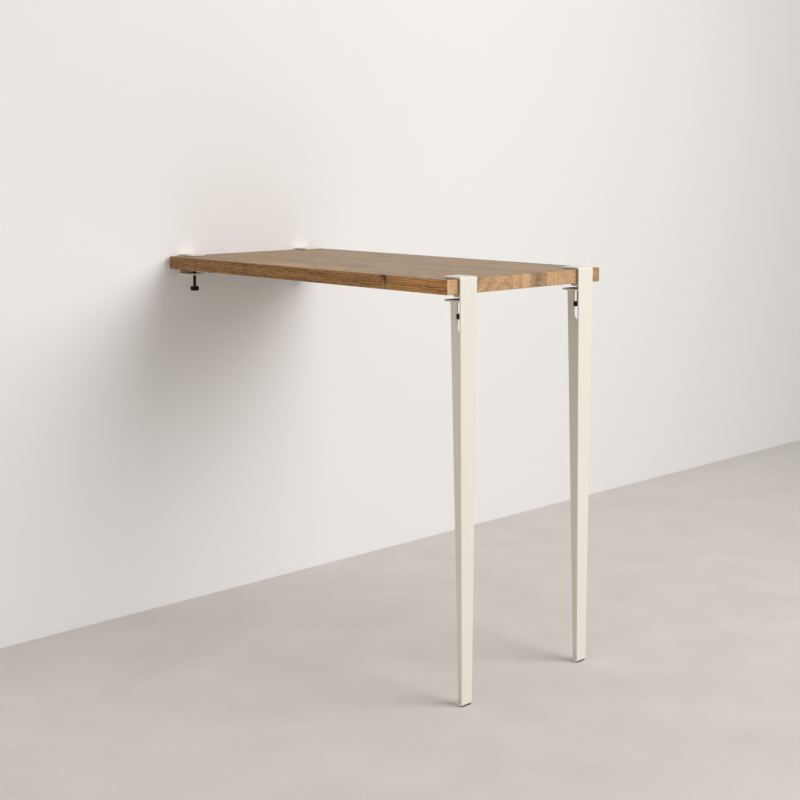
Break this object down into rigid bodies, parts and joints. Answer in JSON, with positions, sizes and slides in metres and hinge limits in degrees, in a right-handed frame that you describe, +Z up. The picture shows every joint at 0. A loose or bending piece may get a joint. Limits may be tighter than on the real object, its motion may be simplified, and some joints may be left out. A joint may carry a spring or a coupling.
{
  "type": "wall-mounted bar table",
  "caption": "Bar-height wooden board clamped to slim T-section steel legs at its free end and to steel wall brackets at the other, each clamp with a knobbed screw and a pressure disc.",
  "frame": {"origin": "on the floor under the middle of the table, midway between the legs' outer faces and the wall", "axes": "+Z up, +X along the wall, +Y from the free end to the wall"},
  "size_m": [0.6, 1.215, 1.105],
  "materials": {
    "wood": "oiled, satin",
    "cream_steel": "fine powder coat, satin",
    "black_steel": "blackened, oiled",
    "black_plastic": "moulded, matt",
    "grey_rubber": "matt",
    "dark_plastic": "moulded, matt",
    "spring_steel": "bright"
  },
  "bodies": {
    "table": {"left_leg_clamp_plate": "cream_steel", "left_leg_fin": "cream_steel", "left_leg_foot_glide": "dark_plastic", "left_leg_lip_pad": "grey_rubber", "left_leg_strap": "cream_steel", "left_wall_bracket": "cream_steel", "left_wall_lip_pad": "grey_rubber", "right_leg_clamp_plate": "cream_steel", "right_leg_fin": "cream_steel", "right_leg_foot_glide": "dark_plastic", "right_leg_lip_pad": "grey_rubber", "right_leg_strap": "cream_steel", "right_wall_bracket": "cream_steel", "right_wall_lip_pad": "grey_rubber", "tabletop": "wood"},
    "left_leg_jaw": {"left_leg_pressure_disc": "cream_steel", "left_leg_disc_pad": "grey_rubber"},
    "left_leg_spindle": {"left_leg_screw": "black_steel", "left_leg_knob": "black_plastic", "left_leg_retaining_clip": "spring_steel"},
    "right_leg_jaw": {"right_leg_pressure_disc": "cream_steel", "right_leg_disc_pad": "grey_rubber"},
    "right_leg_spindle": {"right_leg_screw": "black_steel", "right_leg_knob": "black_plastic", "right_leg_retaining_clip": "spring_steel"},
    "left_wall_jaw": {"left_wall_pressure_disc": "cream_steel", "left_wall_disc_pad": "grey_rubber"},
    "left_wall_spindle": {"left_wall_screw": "black_steel", "left_wall_knob": "black_plastic", "left_wall_retaining_clip": "spring_steel"},
    "right_wall_jaw": {"right_wall_pressure_disc": "cream_steel", "right_wall_disc_pad": "grey_rubber"},
    "right_wall_spindle": {"right_wall_screw": "black_steel", "right_wall_knob": "black_plastic", "right_wall_retaining_clip": "spring_steel"}
  },
  "joints": [
    {"name": "left_leg_jaw_slide", "type": "slide", "parent": "table", "child": "left_leg_jaw", "axis": [0, 0, -1], "range_m": [0, 0.0075]},
    {"name": "left_leg_screw_turn", "type": "hinge", "parent": "left_leg_jaw", "child": "left_leg_spindle", "pos_m": [-0.231, -0.5825, 1.05], "axis": [0, 0, -1], "range_deg": [0, 1800]},
    {"name": "right_leg_jaw_slide", "type": "slide", "parent": "table", "child": "right_leg_jaw", "axis": [0, 0, -1], "range_m": [0, 0.0075]},
    {"name": "right_leg_screw_turn", "type": "hinge", "parent": "right_leg_jaw", "child": "right_leg_spindle", "pos_m": [0.231, -0.5825, 1.05], "axis": [0, 0, -1], "range_deg": [0, 1800]},
    {"name": "left_wall_jaw_slide", "type": "slide", "parent": "table", "child": "left_wall_jaw", "axis": [0, 0, -1], "range_m": [0, 0.0075]},
    {"name": "left_wall_screw_turn", "type": "hinge", "parent": "left_wall_jaw", "child": "left_wall_spindle", "pos_m": [-0.231, 0.5665, 1.05], "axis": [0, 0, -1], "range_deg": [0, 1800]},
    {"name": "right_wall_jaw_slide", "type": "slide", "parent": "table", "child": "right_wall_jaw", "axis": [0, 0, -1], "range_m": [0, 0.0075]},
    {"name": "right_wall_screw_turn", "type": "hinge", "parent": "right_wall_jaw", "child": "right_wall_spindle", "pos_m": [0.231, 0.5665, 1.05], "axis": [0, 0, -1], "range_deg": [0, 1800]}
  ],
  "couplings": [
    {"joint": "left_leg_screw_turn", "follows": "left_leg_jaw_slide", "rad_per_m": 4188.8},
    {"joint": "right_leg_screw_turn", "follows": "right_leg_jaw_slide", "rad_per_m": 4188.8},
    {"joint": "left_wall_screw_turn", "follows": "left_wall_jaw_slide", "rad_per_m": 4188.8},
    {"joint": "right_wall_screw_turn", "follows": "right_wall_jaw_slide", "rad_per_m": 4188.8}
  ]
}
